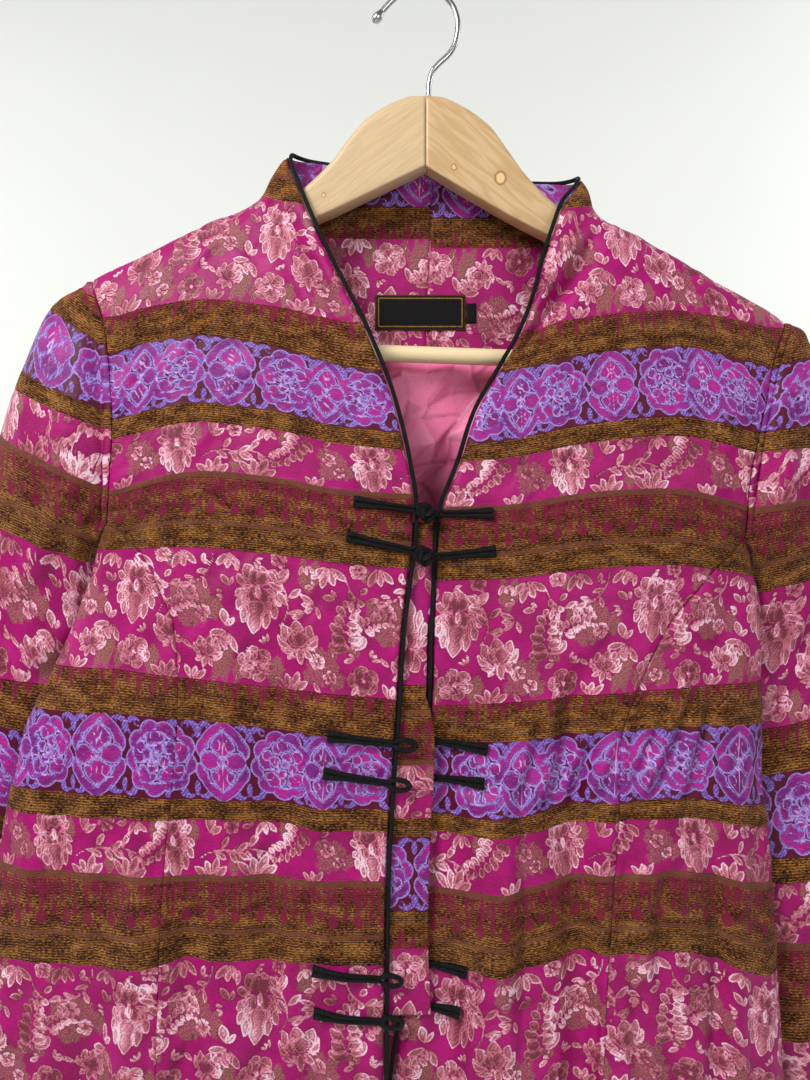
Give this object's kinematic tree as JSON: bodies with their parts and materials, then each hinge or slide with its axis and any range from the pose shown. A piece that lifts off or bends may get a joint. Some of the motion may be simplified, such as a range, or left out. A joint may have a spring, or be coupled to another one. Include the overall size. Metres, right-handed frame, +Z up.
{
  "type": "tang jacket on a wooden hanger",
  "caption": "Brocade jacket with a V neck, grown-on stand collar, piped edges, princess seams and corded frogs, hanging flat on a round-topped wooden hanger with a wire hook.",
  "frame": {"origin": "the inner top of the hanger's hook, where the hook is held", "axes": "+Z up; the fronts face -Y; +X is to the right of someone who looks at the fronts"},
  "size_m": [0.6685, 0.1076, 0.7686],
  "materials": {
    "brocade": "jacquard with chenille bands",
    "facing_brocade": "jacquard with chenille bands",
    "lining": "satin",
    "trim": "satin cord and piping",
    "label_tape": "woven tape",
    "pale_wood": "satin varnish",
    "hook_metal": "polished wire"
  },
  "bodies": {
    "root": {"front_left": "brocade", "side_front_left": "brocade", "back_left": "brocade", "sleeve_left": "brocade", "front_right": "brocade", "side_front_right": "brocade", "back_right": "brocade", "sleeve_right": "brocade", "facing_left": "facing_brocade", "facing_right": "facing_brocade", "underlap": "brocade", "back_lining": "lining", "label": "label_tape", "size_tab": "label_tape", "edge_piping": "trim", "frog_left_1": "trim", "frog_right_1": "trim", "knot_1": "trim", "frog_left_2": "trim", "frog_right_2": "trim", "knot_2": "trim", "frog_left_3": "trim", "frog_right_3": "trim", "knot_3": "trim", "frog_left_4": "trim", "frog_right_4": "trim", "knot_4": "trim", "frog_left_5": "trim", "frog_right_5": "trim", "knot_5": "trim", "frog_left_6": "trim", "frog_right_6": "trim", "knot_6": "trim", "hanger_arm_left": "pale_wood", "hanger_arm_right": "pale_wood", "hanger_bar": "pale_wood", "hanger_hook": "hook_metal"}
  },
  "joints": []
}
